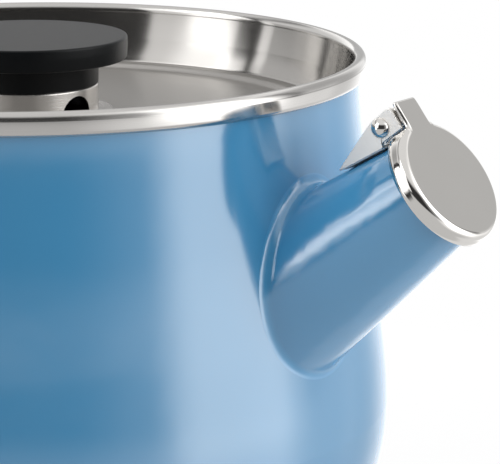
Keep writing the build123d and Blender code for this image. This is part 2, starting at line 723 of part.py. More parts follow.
# ---- spreader: perforated cover with a rib inside the basket's wall and a collar on the tube ----
spreader_level = basket_rim + spreader_gap
spreader_top = spreader_level + spreader_sheet
spreader_radius = basket_radius + basket_lip
rib_radius = basket_radius - basket_sheet - spreader_rib_clearance
rib_inside = rib_radius - spreader_sheet
rib_bottom = spreader_level - spreader_rib
crown = spreader_level + spreader_rise
collar_outside = sleeve_bore + spreader_sheet
collar_top = crown + spreader_collar
with BuildPart() as spreader:
    with BuildSketch(Plane.XZ):
        Polygon((spreader_radius, spreader_level), (spreader_radius, spreader_top), (rib_radius, spreader_top),
                (collar_outside, crown + spreader_sheet), (collar_outside, collar_top),
                (sleeve_bore, collar_top), (sleeve_bore, crown), (rib_inside, spreader_level),
                (rib_inside, rib_bottom), (rib_radius, rib_bottom), (rib_radius, spreader_level), align=None)
    revolve(axis=Axis.Z)
    for ring, count in zip(perforation_ring_radii, perforation_ring_counts):
        with BuildSketch(Plane.XY.offset(spreader_level)):
            with PolarLocations(ring, count):
                Circle(perforation_radius)
        extrude(amount=spreader_rise + spreader_collar, mode=Mode.SUBTRACT)
finish(spreader, "spreader")
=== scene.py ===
# %% [markdown]
# # An enamelled percolator pot
#
# The imported model gives every piece at its real size and place. This file adds what a construction model
# doesn't carry: the glass-like enamel, brushed and polished steel, matt moulding, and the studio around it.
# Five pieces whose bends catch the light most are drawn again as finer surfaces: the rim, the lid, the
# knob, the spout's cap and its bracket. +X points to the spout and +Z up. Meshes are in metres, and the
# outlines that are listed here are in millimetres.

# %% [markdown]
# ## The frame
#
# The model's pieces are imported, their placing is moved into their meshes, and the other imported objects are
# removed.

# %% Load the frame
import json
import math

import bpy
import numpy as np
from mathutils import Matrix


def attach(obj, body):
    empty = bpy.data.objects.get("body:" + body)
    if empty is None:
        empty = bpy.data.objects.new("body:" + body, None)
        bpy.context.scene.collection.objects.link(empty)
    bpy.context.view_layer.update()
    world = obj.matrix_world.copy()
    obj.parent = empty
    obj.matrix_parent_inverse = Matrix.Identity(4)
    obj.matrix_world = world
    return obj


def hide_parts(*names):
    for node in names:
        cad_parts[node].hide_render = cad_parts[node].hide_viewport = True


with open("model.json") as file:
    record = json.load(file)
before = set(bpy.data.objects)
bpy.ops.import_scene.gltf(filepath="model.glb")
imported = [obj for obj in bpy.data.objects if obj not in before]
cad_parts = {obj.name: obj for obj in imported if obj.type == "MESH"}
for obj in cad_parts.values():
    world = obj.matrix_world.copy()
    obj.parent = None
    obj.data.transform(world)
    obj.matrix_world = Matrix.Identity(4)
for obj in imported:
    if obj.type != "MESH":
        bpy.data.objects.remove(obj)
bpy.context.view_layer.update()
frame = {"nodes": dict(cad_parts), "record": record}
nodes = frame["nodes"]
MM = 0.001

# %% [markdown]
# ## The camera
#
# A close view can be had with a wide lens near the pot or with a long one farther off. The long one is
# chosen: from about 0.7 m the near and the far side of the rim keep almost the same size, as in a
# catalogue. The camera stands between the front and the spout and looks down a little, so that the lid's
# well, the flat cap and the shoulder of the pot are all in view. Its place is fixed in metres and its turn
# in degrees, so nothing depends on the size of the finished image.

# %% Camera
CAMERA_PLACE = (0.4133, -0.5080, 0.2347)
CAMERA_TURN = 34.676       # degrees about the vertical from a view along +Y
CAMERA_DOWN = 12.888       # degrees below level
LENS = 208.8
SENSOR = 36.0

camera_data = bpy.data.cameras.new("camera")
camera_data.lens = LENS
camera_data.sensor_width = SENSOR
camera_data.clip_start = 0.05
camera_data.clip_end = 20.0
camera = bpy.data.objects.new("camera", camera_data)
camera.location = CAMERA_PLACE
camera.rotation_euler = (math.radians(90 - CAMERA_DOWN), 0, math.radians(CAMERA_TURN))
bpy.context.scene.collection.objects.link(camera)
bpy.context.scene.camera = camera
bpy.context.scene.view_settings.view_transform = "Standard"
print("Camera distance from the axis:", round(math.hypot(CAMERA_PLACE[0], CAMERA_PLACE[1]), 3), "m")

# %% [markdown]
# ## Small helpers for shader nodes
#
# Every finish is built from nodes, and so is the studio. Nodes can be placed one by one with their sockets
# linked by hand, which soon hides what a material does. A few helpers keep it readable: one adds a node and
# fills in its sockets, one makes a step of arithmetic, and two make and place the groups that several
# finishes share.

# %% Node helpers
def add_node(tree, kind, inputs=None, **settings):
    """Adds a node, sets its own settings, then fills each named input with a value or a link."""
    node = tree.nodes.new(kind)
    for name, value in settings.items():
        setattr(node, name, value)
    for name, value in (inputs or {}).items():
        socket = node.inputs[name]
        if isinstance(value, bpy.types.NodeSocket):
            tree.links.new(value, socket)
        else:
            socket.default_value = value
    return node


def math_step(tree, operation, first, second=0.0, clamp=False):
    """One step of arithmetic on two values or links, as an output socket."""
    node = add_node(tree, "ShaderNodeMath", {0: first, 1: second}, operation=operation, use_clamp=clamp)
    return node.outputs[0]


def smooth_step(tree, value, low, high):
    """0 below low and 1 above high, with a smooth rise between them."""
    node = add_node(tree, "ShaderNodeMapRange", {"Value": value, "From Min": low, "From Max": high},
                    interpolation_type="SMOOTHSTEP")
    return node.outputs["Result"]


def new_group(name, inputs, outputs):
    """An empty shader node group with named value, colour or vector sockets."""
    group = bpy.data.node_groups.new(name, "ShaderNodeTree")
    for title, kind, start in inputs:
        socket = group.interface.new_socket(title, in_out="INPUT", socket_type=kind)
        if start is not None:
            socket.default_value = start
    for title, kind in outputs:
        group.interface.new_socket(title, in_out="OUTPUT", socket_type=kind)
    source = group.nodes.new("NodeGroupInput")
    sink = group.nodes.new("NodeGroupOutput")
    return group, source.outputs, sink.inputs


def place_group(tree, group, inputs=None):
    """Places a node group in a tree and fills its inputs."""
    return add_node(tree, "ShaderNodeGroup", inputs, node_tree=group)


# %% [markdown]
# ## The studio
#
# Glossy things show the room they stand in, so the room matters as much as the pot. It has one wide soft
# box to the right of the camera and a narrower one to the left, pale walls and ceiling, and a few dark gaps
# between them. The camera's own side is dark, which keeps the blue deep, and the wall at the right is the
# calm grey that the flat cap mirrors.
#
# Lamps and cards could stand round the pot as objects. Here the room is the world's colour instead, worked
# out from the direction alone: it has no noise from small lamps, it casts the same soft light, and an edge
# can be made as soft as the cloth front of a real soft box.

# %% One soft box
FRONT = -90 + CAMERA_TURN          # direction from the pot to the camera, in degrees from +X


def soft_box_group():
    """Brightness of one soft box: strength x across x rise x fall.

    `across` falls smoothly from 1 to 0 over the side softness beyond the half width, `rise` climbs to 1 at
    the bottom edge and `fall` leaves 1 at the top edge, both over the end softness. Angles are in degrees.
    """
    tree, given, result = new_group(
        "soft_box",
        [("Bearing", "NodeSocketFloat", 0.0), ("Height", "NodeSocketFloat", 0.0),
         ("Centre", "NodeSocketFloat", 0.0), ("Half Width", "NodeSocketFloat", 30.0),
         ("Side Softness", "NodeSocketFloat", 5.0), ("Bottom", "NodeSocketFloat", -40.0),
         ("Top", "NodeSocketFloat", 60.0), ("End Softness", "NodeSocketFloat", 5.0),
         ("Strength", "NodeSocketFloat", 1.0)],
        [("Light", "NodeSocketFloat")])
    turned = math_step(tree, "SUBTRACT", given["Bearing"], given["Centre"])
    wrapped = math_step(tree, "WRAP", turned, 180.0)
    wrapped.node.inputs[2].default_value = -180.0
    off_centre = math_step(tree, "ABSOLUTE", wrapped)
    reach = math_step(tree, "ADD", given["Half Width"], given["Side Softness"])
    across = smooth_step(tree, off_centre, reach, given["Half Width"])
    lower = math_step(tree, "SUBTRACT", given["Bottom"], given["End Softness"])
    upper = math_step(tree, "ADD", given["Top"], given["End Softness"])
    rise = smooth_step(tree, given["Height"], lower, given["Bottom"])
    fall = smooth_step(tree, given["Height"], upper, given["Top"])
    light = math_step(tree, "MULTIPLY", math_step(tree, "MULTIPLY", across, rise), fall)
    tree.links.new(math_step(tree, "MULTIPLY", light, given["Strength"]), result["Light"])
    return tree


# %% [markdown]
# ### The boxes and walls of the room
#
# Each row is one lit surface of the room. Bearings are counted from the camera, to the right when positive,
# and heights from the level of the table. A strength of 1 is white. The left box is built of several rows,
# because a real box is brighter in its middle and at its far edge than near the camera.

# %% Studio dome
# name, bearing from the camera, half width, side softness, bottom, top, end softness, strength
SOFT_BOXES = (
    ("right box", 72.0, 14.0, 18.0, 0.0, 28.0, 32.0, 2.12),
    ("right scrim", 66.0, 18.0, 34.0, -20.0, 45.0, 25.0, 0.5),
    ("right wall", 136.0, 24.0, 9.0, 2.0, 40.0, 14.0, 0.55),
    ("right low panel", 113.0, 10.0, 10.0, -18.0, 2.0, 6.0, 0.22),
    ("left box", -62.0, 17.5, 2.5, 6.0, 45.0, 5.0, 1.35),
    ("left box core", -70.0, 4.0, 15.0, 6.0, 45.0, 5.0, 0.95),
    ("left box foot", -68.0, 6.0, 6.0, -5.0, 9.5, 6.5, 1.30),
    ("left box end", -84.0, 5.0, 2.0, 17.0, 45.0, 3.0, 2.2),
    ("left strip", -95.5, 2.0, 1.5, -20.0, 16.0, 8.0, 1.9),
    ("left wall", -132.0, 32.0, 3.0, -20.0, 26.0, 12.0, 0.88),
    ("back wall", 180.0, 20.0, 22.0, -30.0, 30.0, 20.0, 0.54),
    ("ceiling", 0.0, 181.0, 1.0, 48.0, 100.0, 18.0, 0.85),
    ("table", 0.0, 181.0, 1.0, -100.0, -10.0, 9.0, 0.64),
    ("table behind", 180.0, 70.0, 40.0, -100.0, -10.0, 9.0, 0.22),
)
ROOM_LEVEL = 0.04                  # what the gaps between them still give
BACKDROP = 1.0                     # the white that the camera sees behind the pot

world = bpy.data.worlds.new("studio")
world.use_nodes = True
bpy.context.scene.world = world
room = world.node_tree
room.nodes.clear()
direction = add_node(room, "ShaderNodeTexCoord").outputs["Generated"]
split = add_node(room, "ShaderNodeSeparateXYZ", {0: direction})
bearing_radians = math_step(room, "ARCTAN2", split.outputs["Y"], split.outputs["X"])
bearing = math_step(room, "SUBTRACT", math_step(room, "DEGREES", bearing_radians), FRONT)
height = math_step(room, "DEGREES", math_step(room, "ARCSINE", split.outputs["Z"]))
soft_box = soft_box_group()
total = None
for title, centre, half, softness, bottom, top, end, strength in SOFT_BOXES:
    box = place_group(room, soft_box, {
        "Bearing": bearing, "Height": height, "Centre": centre, "Half Width": half,
        "Side Softness": softness, "Bottom": bottom, "Top": top, "End Softness": end,
        "Strength": strength})
    box.label = title
    light = box.outputs["Light"]
    total = light if total is None else math_step(room, "ADD", total, light)
total = math_step(room, "ADD", total, ROOM_LEVEL)
path = add_node(room, "ShaderNodeLightPath")
seen = add_node(room, "ShaderNodeMix", {"Factor": path.outputs["Is Camera Ray"], "A": total, "B": BACKDROP},
                data_type="FLOAT")
background = add_node(room, "ShaderNodeBackground", {"Color": (1, 1, 1, 1),
                                                     "Strength": seen.outputs["Result"]})
room.links.new(background.outputs[0], add_node(room, "ShaderNodeOutputWorld").inputs["Surface"])
print("Lit surfaces of the room:", len(SOFT_BOXES))

# %% [markdown]
# ### The floor
#
# A round white sheet just under the pot catches its shadow. It could simply be lit until it is white, but
# the same light would wash out the pot. So for the camera alone it is lifted to the white of the backdrop,
# and what is left of its own shading keeps the shadow in view. The dome already holds the table's light,
# so mirrored rays pass the sheet.

# %% Floor
FLOOR_RADIUS = 0.26
FLOOR_DROP = 0.0002                # a hair under the foot, so that the two never share a plane
PAPER = (0.52, 0.52, 0.52, 1)
PAPER_WHITE = 1.08                 # makes up for the shading that the lifted sheet keeps
LIFTED_SHARE = 0.86                # how much of the sheet is lifted, as the camera sees it


def disc(name, radius, height, rings=24, spokes=96):
    """A flat disc: x = r cos t, y = r sin t, with r from a small hub out to the radius, over a grid.

    One many-sided face closes the hub.
    """
    r, t = np.meshgrid(np.linspace(0.01, 1, rings) * radius, np.arange(spokes) * 2 * np.pi / spokes)
    points = np.stack([r * np.cos(t), r * np.sin(t), np.full(r.shape, height)], -1).reshape(-1, 3)
    index = np.arange(spokes * rings).reshape(spokes, rings)
    after = np.roll(index, -1, axis=0)
    quads = np.stack([index[:, :-1], index[:, 1:], after[:, 1:], after[:, :-1]], -1).reshape(-1, 4)
    mesh = bpy.data.meshes.new(name)
    mesh.from_pydata(points, [], quads.tolist() + [index[:, 0].tolist()])
    return bpy.data.objects.new(name, mesh)


floor = disc("floor", FLOOR_RADIUS, -FLOOR_DROP)
bpy.context.scene.collection.objects.link(floor)
paper = bpy.data.materials.new("white_sheet")
paper.use_nodes = True
tree = paper.node_tree
tree.nodes.clear()
own = add_node(tree, "ShaderNodeBsdfDiffuse", {"Color": PAPER})
white = add_node(tree, "ShaderNodeEmission", {"Color": (1, 1, 1, 1), "Strength": PAPER_WHITE})
rays = add_node(tree, "ShaderNodeLightPath")
lift = math_step(tree, "MULTIPLY", rays.outputs["Is Camera Ray"], LIFTED_SHARE)
seen_floor = add_node(tree, "ShaderNodeMixShader", {0: lift, 1: own.outputs[0], 2: white.outputs[0]})
clear = add_node(tree, "ShaderNodeBsdfTransparent")
mixed = add_node(tree, "ShaderNodeMixShader", {0: rays.outputs["Is Glossy Ray"], 1: seen_floor.outputs[0],
                                               2: clear.outputs[0]})
tree.links.new(mixed.outputs[0], add_node(tree, "ShaderNodeOutputMaterial").inputs["Surface"])
floor.data.materials.append(paper)
print("Floor radius:", FLOOR_RADIUS, "m")


# %% [markdown]
# ## Finishes
#
# Each finish is one Principled shader fed by a few patterns. A painted image could carry them, but it would
# need unwrapped surfaces and stay coarse close by. Patterns worked out from the place on the piece have no
# seams and no limit of detail. They are node groups, because several steels share the same turned lines and
# several finishes the same fine grain.

# %% Turned lines
def turned_lines_group():
    """Fine rings left by turning or polishing about the upright axis.

    Noise that changes quickly with radius and height and hardly at all round the axis: the point is
    (radius x frequency, height x frequency, bearing x a small number). The radius goes out as well, so
    that a finish can change at a given distance from the axis.
    """
    group, given, result = new_group(
        "turned_lines",
        [("Frequency", "NodeSocketFloat", 4000.0), ("Round", "NodeSocketFloat", 1.5)],
        [("Line", "NodeSocketFloat"), ("Radius", "NodeSocketFloat")])
    place = add_node(group, "ShaderNodeTexCoord").outputs["Object"]
    part = add_node(group, "ShaderNodeSeparateXYZ", {0: place})
    x, y, z = part.outputs
    radius = math_step(group, "SQRT", math_step(group, "ADD", math_step(group, "MULTIPLY", x, x),
                                                math_step(group, "MULTIPLY", y, y)))
    turn = math_step(group, "ARCTAN2", y, x)
    point = add_node(group, "ShaderNodeCombineXYZ", {
        "X": math_step(group, "MULTIPLY", radius, given["Frequency"]),
        "Y": math_step(group, "MULTIPLY", z, given["Frequency"]),
        "Z": math_step(group, "MULTIPLY", turn, given["Round"])})
    line = add_node(group, "ShaderNodeTexNoise", {"Vector": point.outputs[0], "Scale": 1.0, "Detail": 3.0,
                                                  "Roughness": 0.6})
    group.links.new(line.outputs[0], result["Line"])
    group.links.new(radius, result["Radius"])
    return group


# %% Grain and specks
def fine_grain_group():
    """Two sizes of even noise, for castings, mouldings and the faint ripple of fired enamel."""
    group, given, result = new_group(
        "fine_grain",
        [("Coarse", "NodeSocketFloat", 200.0), ("Fine", "NodeSocketFloat", 2500.0)],
        [("Coarse Height", "NodeSocketFloat"), ("Fine Height", "NodeSocketFloat")])
    place = add_node(group, "ShaderNodeTexCoord").outputs["Object"]
    coarse = add_node(group, "ShaderNodeTexNoise", {"Vector": place, "Scale": given["Coarse"], "Detail": 2.0})
    fine = add_node(group, "ShaderNodeTexNoise", {"Vector": place, "Scale": given["Fine"], "Detail": 2.0})
    group.links.new(coarse.outputs[0], result["Coarse Height"])
    group.links.new(fine.outputs[0], result["Fine Height"])
    return group


def specks_group():
    """A mask of rare tiny round specks: Voronoi cells, of which only a few are kept."""
    group, given, result = new_group(
        "specks",
        [("Cells", "NodeSocketFloat", 220.0), ("Size", "NodeSocketFloat", 0.08),
         ("Kept", "NodeSocketFloat", 0.03)],
        [("Speck", "NodeSocketFloat")])
    place = add_node(group, "ShaderNodeTexCoord").outputs["Object"]
    cells = add_node(group, "ShaderNodeTexVoronoi", {"Vector": place, "Scale": given["Cells"]})
    dot = smooth_step(group, cells.outputs["Distance"], given["Size"], 0.0)
    chance = add_node(group, "ShaderNodeSeparateColor", {0: cells.outputs["Color"]}).outputs[0]
    kept = math_step(group, "LESS_THAN", chance, given["Kept"])
    group.links.new(math_step(group, "MULTIPLY", dot, kept), result["Speck"])
    return group


TURNED = turned_lines_group()
GRAIN = fine_grain_group()
SPECKS = specks_group()
print("Pattern groups:", TURNED.name, GRAIN.name, SPECKS.name)


# %% [markdown]
# ### Parts of a finish
#
# Every finish blends two close colours, spreads a pattern over a range of roughness and lets a pattern tilt
# the surface a little. These three steps and the empty material are written once. Values that are equal all
# over a piece, such as metallic or the index of refraction, are set on the shader itself.

# %% Finish helpers
def mix_colour(tree, share, first, second):
    """A blend of two colours by a share from 0 to 1."""
    node = add_node(tree, "ShaderNodeMix", data_type="RGBA")
    for socket, value in ((node.inputs[0], share), (node.inputs[6], first), (node.inputs[7], second)):
        if isinstance(value, bpy.types.NodeSocket):
            tree.links.new(value, socket)
        else:
            socket.default_value = value
    return node.outputs[2]


def level(tree, value, low, high):
    """A value from 0 to 1 spread over low to high."""
    return add_node(tree, "ShaderNodeMapRange", {"Value": value, "To Min": low, "To Max": high}).outputs[0]


def finish_material(name):
    """A new material with its Principled shader, as (material, tree, shader)."""
    material = bpy.data.materials.new(name)
    material.use_nodes = True
    tree = material.node_tree
    shader = tree.nodes["Principled BSDF"]
    return material, tree, shader


def bump(tree, shader, height, distance):
    """Feeds a height to the shader's normal through one Bump node; the distance is in metres."""
    node = add_node(tree, "ShaderNodeBump", {"Height": height, "Distance": distance, "Strength": 1.0})
    tree.links.new(node.outputs[0], shader.inputs["Normal"])


# %% [markdown]
# ### Enamel
#
# The pot is steel dipped in powdered glass and fired until the glass runs. It comes out as smooth as a
# glaze, a little thicker and thinner in waves, with a few pale pinholes. A clear coat over a blue base would
# do it as well. One dielectric layer is chosen: its strong index of refraction alone gives the bright,
# clear mirror images, and a shallow slow ripple makes their edges wander.

# %% Enamel
ENAMEL_LOW = (0.058, 0.265, 0.490)
ENAMEL_HIGH = (0.064, 0.275, 0.505)
PINHOLE = (0.42, 0.55, 0.68, 1)
ENAMEL_IOR = 2.06


def enamel(name, ripple, ripple_scale, depth=1.0):
    """Light blue glass fired on steel: very smooth, a ripple where it ran, a few pinhole specks.

    The ripple is a height in metres, its scale the number of waves in a metre, and the depth multiplies
    the blue.
    """
    material, tree, shader = finish_material(name)
    grain = place_group(tree, GRAIN, {"Coarse": ripple_scale, "Fine": 900.0}).outputs
    specks = place_group(tree, SPECKS, {"Cells": 130.0, "Size": 0.045, "Kept": 0.02}).outputs[0]
    low = tuple(c * depth for c in ENAMEL_LOW) + (1,)
    high = tuple(c * depth for c in ENAMEL_HIGH) + (1,)
    body = mix_colour(tree, grain["Coarse Height"], low, high)
    colour = mix_colour(tree, specks, body, PINHOLE)
    tree.links.new(colour, shader.inputs["Base Color"])
    tree.links.new(level(tree, grain["Fine Height"], 0.10, 0.15), shader.inputs["Roughness"])
    shader.inputs["IOR"].default_value = ENAMEL_IOR
    bump(tree, shader, grain["Coarse Height"], ripple)
    return material


# %% [markdown]
# ### Turned and pressed steel
#
# The rim, the lid and the knob's post are brushed while they turn, so fine rings run round them. The rings
# spread a mirror image across themselves, which the shader's anisotropy does at no cost, and the pattern
# only adds the last bit of unevenness. Real grooves in the mesh would need millions of faces.
#
# The cap and its bracket are cut and pressed from polished sheet. They have no rings, only a faint
# cloudiness, and the inside of the cap is as dull as it left the press.

# %% Steels
def steel(name, colour, rough, frequency, line_depth, round_share=1.5, anisotropy=0.0,
          change_radius=None, inner_colour=(0.5, 0.5, 0.5)):
    """Stainless steel with turned lines: they roughen it and tilt its surface a little.

    With a change radius, the steel nearer to the axis than that takes the inner colour: painted shade,
    for the inside of the post, the lid under it and the rim's inner wall.
    """
    material, tree, shader = finish_material(name)
    lines = place_group(tree, TURNED, {"Frequency": frequency, "Round": round_share}).outputs
    light = tuple(min(1.0, c * 1.05) for c in colour) + (1,)
    dark = tuple(c * 0.95 for c in colour) + (1,)
    tone = mix_colour(tree, lines["Line"], dark, light)
    if change_radius:
        outer = smooth_step(tree, lines["Radius"], change_radius - 0.00005, change_radius + 0.00005)
        tone = mix_colour(tree, outer, tuple(inner_colour) + (1,), tone)
    tree.links.new(tone, shader.inputs["Base Color"])
    tree.links.new(level(tree, lines["Line"], rough * 0.85, rough * 1.15), shader.inputs["Roughness"])
    shader.inputs["Metallic"].default_value = 1.0
    shader.inputs["Anisotropic"].default_value = anisotropy
    shader.inputs["Anisotropic Rotation"].default_value = 0.25
    bump(tree, shader, lines["Line"], line_depth)
    return material


def pressed_steel(name, colour, rough, inner_colour=None, inner_rough=0.36):
    """Polished sheet as it leaves the press: nearly a mirror, with a faint cloudiness and no lines.

    With an inner colour, the side that the buffing wheel doesn't reach is duller. The piece's own
    attribute "inner_side" says where that is, from 0 to 1.
    """
    material, tree, shader = finish_material(name)
    grain = place_group(tree, GRAIN, {"Coarse": 90.0, "Fine": 1500.0}).outputs
    light = tuple(min(1.0, c * 1.02) for c in colour) + (1,)
    dark = tuple(c * 0.98 for c in colour) + (1,)
    tone = mix_colour(tree, grain["Coarse Height"], dark, light)
    roughness = level(tree, grain["Fine Height"], rough * 0.8, rough * 1.2)
    if inner_colour:
        side = tree.nodes.new("ShaderNodeAttribute")
        side.attribute_name = "inner_side"
        share = side.outputs["Fac"]
        tone = mix_colour(tree, share, tone, tuple(inner_colour) + (1,))
        roughness = math_step(tree, "ADD", roughness, math_step(tree, "MULTIPLY", share, inner_rough - rough))
    tree.links.new(tone, shader.inputs["Base Color"])
    tree.links.new(roughness, shader.inputs["Roughness"])
    shader.inputs["Metallic"].default_value = 1.0
    bump(tree, shader, grain["Fine Height"], 0.0000008)
    return material


# %% [markdown]
# ### Black moulding
#
# The knob and the handle's grip are heat-proof phenolic, matt from the mould. A low index of refraction keeps
# the black deep where a soft box falls on it, and a fine grain breaks up what is left of the shine.

# %% Moulding
def moulding():
    """Matt black phenolic moulding with a fine grain."""
    material, tree, shader = finish_material("black_moulding")
    grain = place_group(tree, GRAIN, {"Coarse": 700.0, "Fine": 3500.0}).outputs
    tree.links.new(mix_colour(tree, grain["Coarse Height"], (0.003, 0.004, 0.005, 1), (0.005, 0.006, 0.007, 1)),
                   shader.inputs["Base Color"])
    tree.links.new(level(tree, grain["Fine Height"], 0.30, 0.38), shader.inputs["Roughness"])
    shader.inputs["IOR"].default_value = 1.28
    bump(tree, shader, grain["Fine Height"], 0.00003)
    return material


# %% [markdown]
# ### Which piece gets which finish
#
# The frame's record names a material slot for each node. One finish per slot dresses them all, and a few
# pieces get one of their own: the spout, whose glass ripples more and whose blue is painted 15 % lighter than
# the body's as painted light, the blackened screw, and the post, whose inside behind its vents is painted
# near-black as painted shade. `change_radius` marks where such painted shade begins, in metres from the axis:
# inside the post, on the lid under it and on the rim's inner wall.

# %% Finishes of all nodes
# Painted shade: near-black steel inside the knob's post and on the lid under it, where little light gets in.
PAINTED_SHADE_INSIDE = (0.012, 0.012, 0.013)
MATERIALS = {
    "enamel": enamel("blue_enamel", 0.00009, 60.0),
    "brushed_steel": steel("satin_steel", (0.585, 0.565, 0.54), 0.17, 5000.0, 0.000002, anisotropy=0.9),
    # Painted shade: inside 74.6 mm the rim's inner wall and seat are painted a darker grey.
    "collar_steel": steel("collar_steel", (0.59, 0.576, 0.558), 0.16, 5000.0, 0.000001, anisotropy=0.92,
                          change_radius=0.0746, inner_colour=(0.42, 0.408, 0.392)),
    # The lid under the post is painted near-black as shade.
    "lid_steel": steel("lid_steel", (0.43, 0.415, 0.397), 0.44, 5000.0, 0.000001, anisotropy=0.1,
                       change_radius=0.0154, inner_colour=PAINTED_SHADE_INSIDE),
    "base_steel": steel("turned_steel", (0.58, 0.57, 0.55), 0.32, 2500.0, 0.00001),
    "polished_steel": pressed_steel("pressed_steel", (0.73, 0.712, 0.685), 0.07),
    "cap_steel": pressed_steel("cap_steel", (0.73, 0.712, 0.685), 0.07, inner_colour=(0.40, 0.39, 0.375)),
    "bracket_steel": pressed_steel("bracket_steel", (0.90, 0.88, 0.85), 0.50),
    "spring_steel": steel("spring_wire", (0.45, 0.44, 0.43), 0.25, 2500.0, 0.000002),
    "screw_steel": steel("screw_steel", (0.60, 0.59, 0.58), 0.22, 4000.0, 0.000004),
    "brass": steel("turned_brass", (0.70, 0.53, 0.26), 0.25, 3000.0, 0.000004),
    "black_moulding": moulding(),
}
slots = {row["node"]: row["material_slot"] for row in frame["record"]["subparts"]}
OWN_FINISH = {
    # Painted light: the spout's blue is 15 % lighter than the body's, and its glass ripples more.
    "spout_tube": enamel("spout_enamel", 0.0003, 95.0, depth=1.15),
    "knob_screw": steel("blackened_screw", (0.03, 0.03, 0.03), 0.35, 3000.0, 0.000002),
    # The post's inner wall is painted near-black as shade.
    "knob_post": steel("post_steel", (0.70, 0.68, 0.655), 0.26, 5000.0, 0.000002, anisotropy=0.9,
                       change_radius=0.01548, inner_colour=PAINTED_SHADE_INSIDE),
}
for name, node in nodes.items():
    node.data.materials.clear()
    node.data.materials.append(OWN_FINISH.get(name, MATERIALS[slots[name]]))
print("Finishes:", len(MATERIALS) + len(OWN_FINISH), "on", len(nodes), "nodes")


def dress(piece, finish):
    """Gives a new piece its material and prints its number of faces."""
    piece.data.materials.append(MATERIALS[finish])
    print(piece.name, "faces:", len(piece.data.polygons))


# %% [markdown]
# ## Turned and pressed pieces
#
# The rim, the lid and the knob are turned shapes: one outline swept once round the pot's axis. A Screw
# modifier could sweep a drawn curve. Here the sweep is a grid worked out with numpy, because then the
# roundings, the number of columns and the closed seam are all in plain sight.
#
# An outline is a list of corners in (radius, height), each with its own rounding, because real sheet never
# bends sharply and every highlight on steel lives on such a bend.

# %% Outline and mesh helpers
def rounded(corners, steps=7):
    """A closed outline with its corners rounded.

    A corner (r, z, rounding) becomes a curve that leaves one side and joins the next at the distance
    `rounding` from the corner: p(t) = (1-t)^2 a + 2t(1-t) c + t^2 b. Two guard points next to each curve
    keep the flats flat under smooth shading.
    """
    place = np.array([c[:2] for c in corners], float)
    reach = np.array([max(c[2], 0.02) for c in corners], float)
    before = np.roll(place, 1, axis=0) - place
    after = np.roll(place, -1, axis=0) - place
    long_before = np.linalg.norm(before, axis=1)
    long_after = np.linalg.norm(after, axis=1)
    cut = np.minimum(reach, 0.45 * np.minimum(long_before, long_after))[:, None]
    toward_before = before / long_before[:, None]
    toward_after = after / long_after[:, None]
    a = place + toward_before * cut
    b = place + toward_after * cut
    t = np.linspace(0, 1, steps)[None, :, None]
    curve = (1 - t) ** 2 * a[:, None] + 2 * t * (1 - t) * place[:, None] + t ** 2 * b[:, None]
    first = (place + toward_before * cut * 1.1)[:, None]
    last = (place + toward_after * cut * 1.1)[:, None]
    return np.concatenate([first, curve, last], axis=1).reshape(-1, 2)


def grid_faces(rows, columns, wrap_rows):
    """Quads over a grid of points whose columns always close round."""
    index = np.arange(rows * columns).reshape(rows, columns)
    beyond = np.roll(index, -1, axis=0) if wrap_rows else index[1:]
    here = index if wrap_rows else index[:-1]
    turned = np.roll(here, -1, axis=1)
    beyond_turned = np.roll(beyond, -1, axis=1)
    return np.stack([here, turned, beyond_turned, beyond], -1).reshape(-1, 4)


def pole_faces(ring, pole):
    """A fan of triangles from a ring of point numbers to one pole."""
    return np.stack([ring, np.roll(ring, -1), np.full(ring.shape, pole)], -1)


def end_fans(rows, columns):
    """Fans that close a grid's first and last row, with the two poles numbered after all its points."""
    count = rows * columns
    return np.concatenate([pole_faces(np.arange(columns)[::-1], count),
                           pole_faces(np.arange(count - columns, count), count + 1)])


def signed_volume(points, triangles):
    """Volume inside a closed mesh, negative when its faces look inwards."""
    a, b, c = (points[triangles[:, k]] for k in range(3))
    return np.einsum("ij,ij->i", a, np.cross(b, c)).sum() / 6


# %% From arrays to objects
def make_piece(name, points, quads, triangles=None):
    """A smooth-shaded object from numpy arrays in metres, with its faces turned outwards."""
    if triangles is None:
        triangles = np.zeros((0, 3), int)
    split = np.concatenate([quads[:, [0, 1, 2]], quads[:, [0, 2, 3]], triangles])
    if signed_volume(points, split) < 0:
        quads = quads[:, ::-1]
        triangles = triangles[:, ::-1]
    mesh = bpy.data.meshes.new(name)
    mesh.vertices.add(len(points))
    mesh.vertices.foreach_set("co", points.astype(np.float32).ravel())
    corners = np.concatenate([quads.ravel(), triangles.ravel()]).astype(np.int32)
    sizes = np.concatenate([np.full(len(quads), 4), np.full(len(triangles), 3)])
    starts = np.concatenate([[0], np.cumsum(sizes)[:-1]]).astype(np.int32)
    mesh.loops.add(len(corners))
    mesh.loops.foreach_set("vertex_index", corners)
    mesh.polygons.add(len(sizes))
    mesh.polygons.foreach_set("loop_start", starts)
    mesh.update(calc_edges=True)
    mesh.validate()
    mesh.shade_smooth()
    piece = bpy.data.objects.new(name, mesh)
    bpy.context.scene.collection.objects.link(piece)
    return piece


def turned_piece(name, outline, spokes=288):
    """One closed outline swept round the axis: (r cos t, r sin t, z)."""
    t = np.arange(spokes) * 2 * np.pi / spokes
    r = outline[:, 0:1] * MM
    points = np.stack([r * np.cos(t), r * np.sin(t), np.repeat(outline[:, 1:2] * MM, spokes, 1)], -1)
    return make_piece(name, points.reshape(-1, 3), grid_faces(len(outline), spokes, True))


